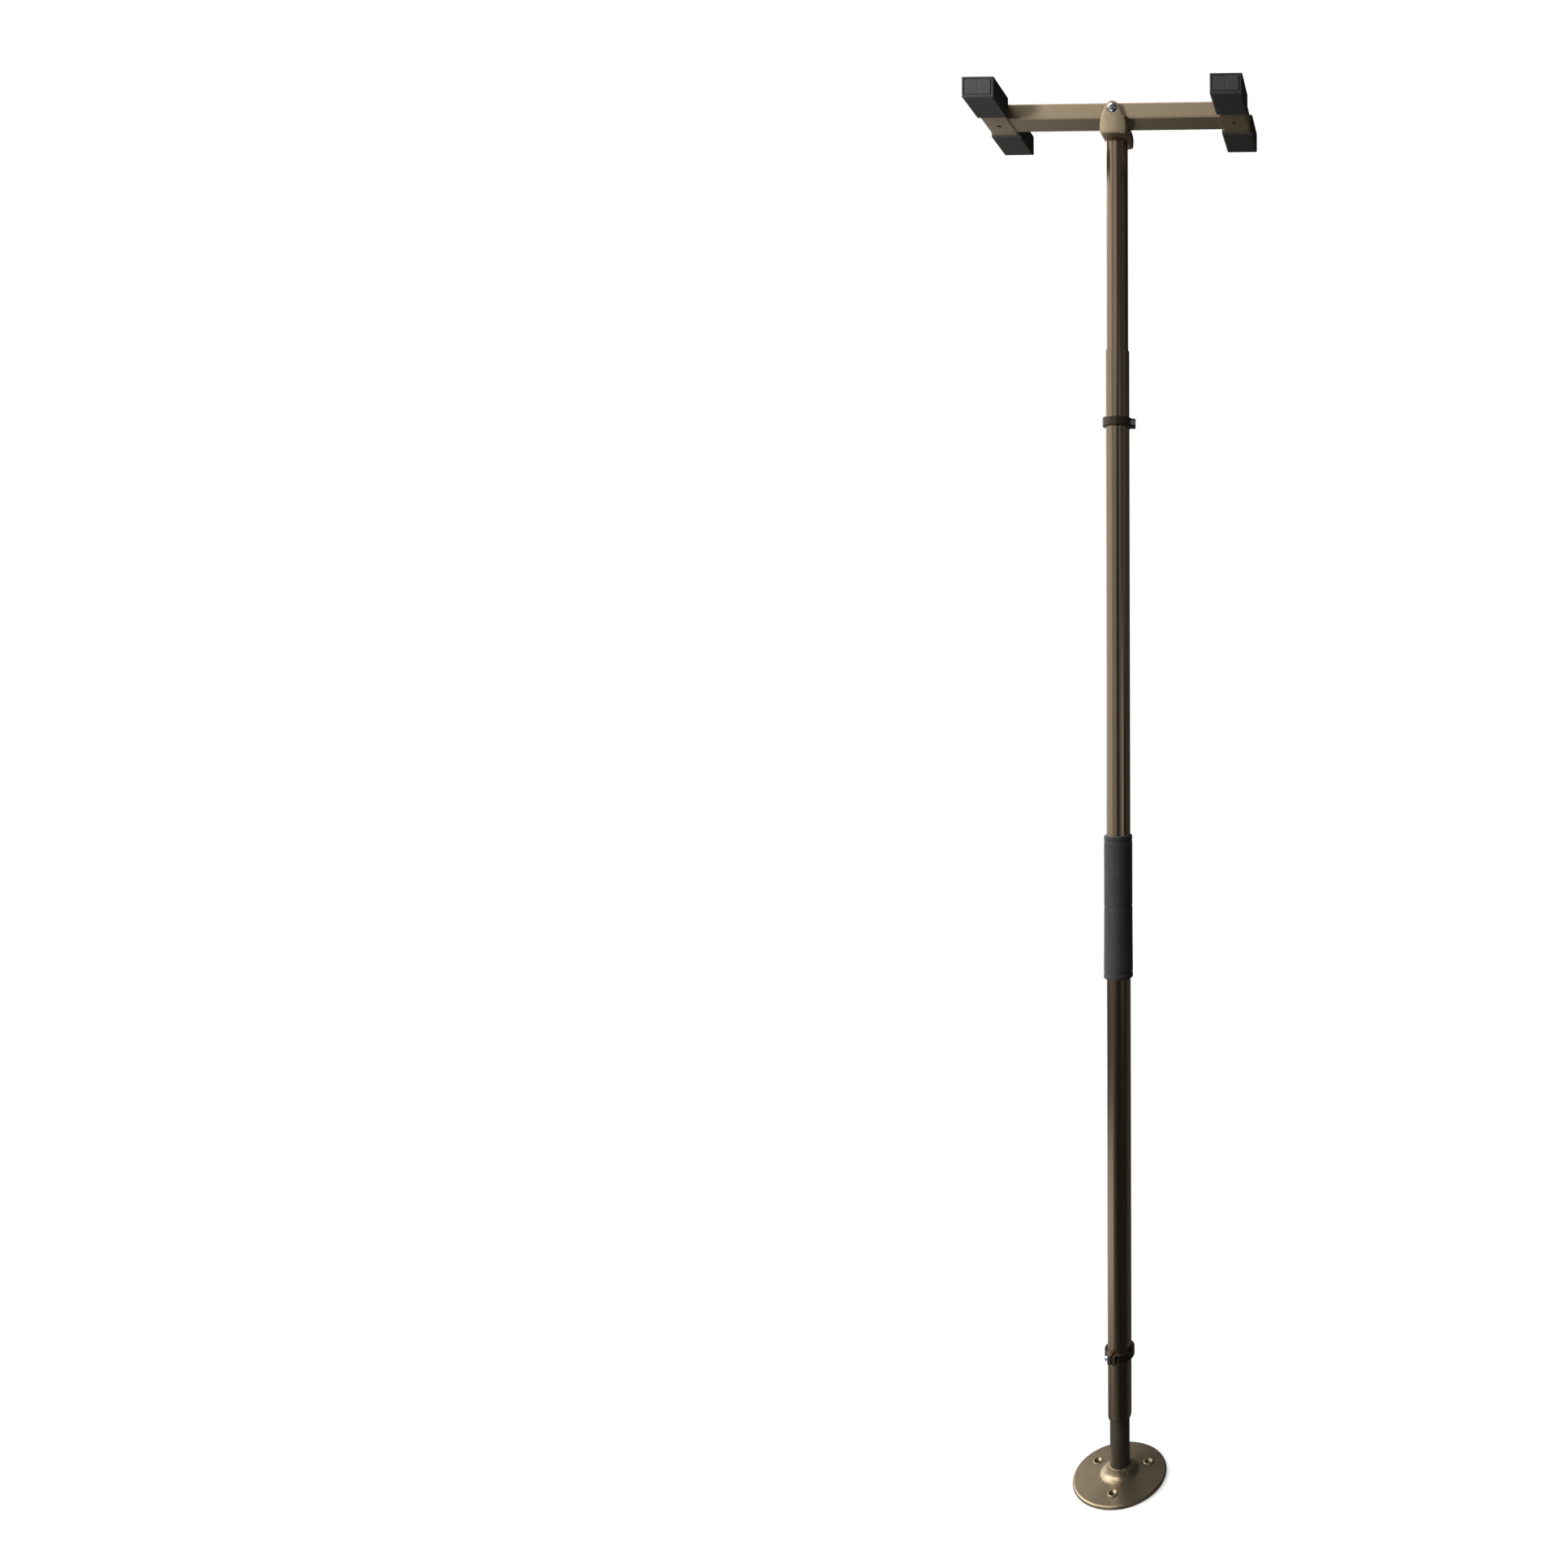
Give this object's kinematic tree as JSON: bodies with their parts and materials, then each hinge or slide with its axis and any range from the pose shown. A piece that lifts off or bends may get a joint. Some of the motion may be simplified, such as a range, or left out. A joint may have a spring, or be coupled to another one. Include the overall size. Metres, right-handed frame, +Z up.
{
  "type": "floor-to-ceiling transfer pole",
  "caption": "Telescoping bronze pole with a padded grip, a screwed floor flange and a tilting H-shaped ceiling bar on rubber boots, for support when standing up.",
  "frame": {"origin": "centre of the floor pad's underside, on the pole's axis", "axes": "+X along the ceiling bar to the right, +Y away from the viewer, +Z up the pole"},
  "size_m": [0.4348, 0.2, 2.2297],
  "materials": {
    "bronze_coat": "satin metallic powder coat",
    "collar_coat": "satin dark coat",
    "bright_steel": "bright plated",
    "black_steel": "black oxide",
    "plain_steel": "machined",
    "nylon": "matte moulded",
    "rubber": "matte moulded",
    "grip_cover": "soft black foam-backed cloth"
  },
  "bodies": {
    "floor_base": {"floor_pad": "rubber", "floor_flange": "bronze_coat", "flange_set_screw": "bright_steel", "thrust_washer": "nylon"},
    "jack": {"jack_tube": "bronze_coat", "jack_nut": "plain_steel"},
    "pole": {"lower_guide_bush": "nylon", "lower_pole_tube": "bronze_coat", "pole_joiner": "plain_steel", "joiner_screws": "black_steel", "upper_pole_tube": "bronze_coat", "jack_bulkhead": "plain_steel", "bulkhead_pin": "plain_steel", "jack_screw": "plain_steel", "lower_collar": "collar_coat", "lower_collar_bolt": "bright_steel", "upper_collar": "collar_coat", "upper_collar_bolt": "bright_steel", "padded_grip": "grip_cover"},
    "glide": {"upper_tube_glide": "nylon"},
    "mast": {"upper_tube": "bronze_coat", "fork": "bronze_coat", "fork_pin": "black_steel", "pivot_bolt": "bright_steel", "pivot_washers": "bright_steel", "pivot_nut": "bright_steel"},
    "ceiling_bar": {"main_bar": "bronze_coat", "left_crossbar": "bronze_coat", "right_crossbar": "bronze_coat", "pivot_sleeve": "plain_steel", "left_front_boot": "rubber", "left_rear_boot": "rubber", "right_front_boot": "rubber", "right_rear_boot": "rubber"}
  },
  "joints": [
    {"name": "pole_lift", "type": "slide", "parent": "floor_base", "child": "pole", "axis": [0, 0, 1], "range_m": [-0.04, 0.04]},
    {"name": "jack_turn", "type": "hinge", "parent": "floor_base", "child": "jack", "pos_m": [0, 0, 0], "axis": [0, 0, 1], "range_deg": [-2881, 2881]},
    {"name": "mast_slide", "type": "slide", "parent": "pole", "child": "glide", "axis": [0, 0, 1], "range_m": [-0.085, 0.55]},
    {"name": "mast_turn", "type": "hinge", "parent": "glide", "child": "mast", "pos_m": [0, 0, 2], "axis": [0, 0, 1], "continuous": true},
    {"name": "bar_tilt", "type": "hinge", "parent": "mast", "child": "ceiling_bar", "pos_m": [0, 0, 2.212], "axis": [0, 1, 0], "range_deg": [-25, 25]}
  ],
  "couplings": [
    {"joint": "jack_turn", "follows": "pole_lift", "rad_per_m": -1256.6}
  ]
}
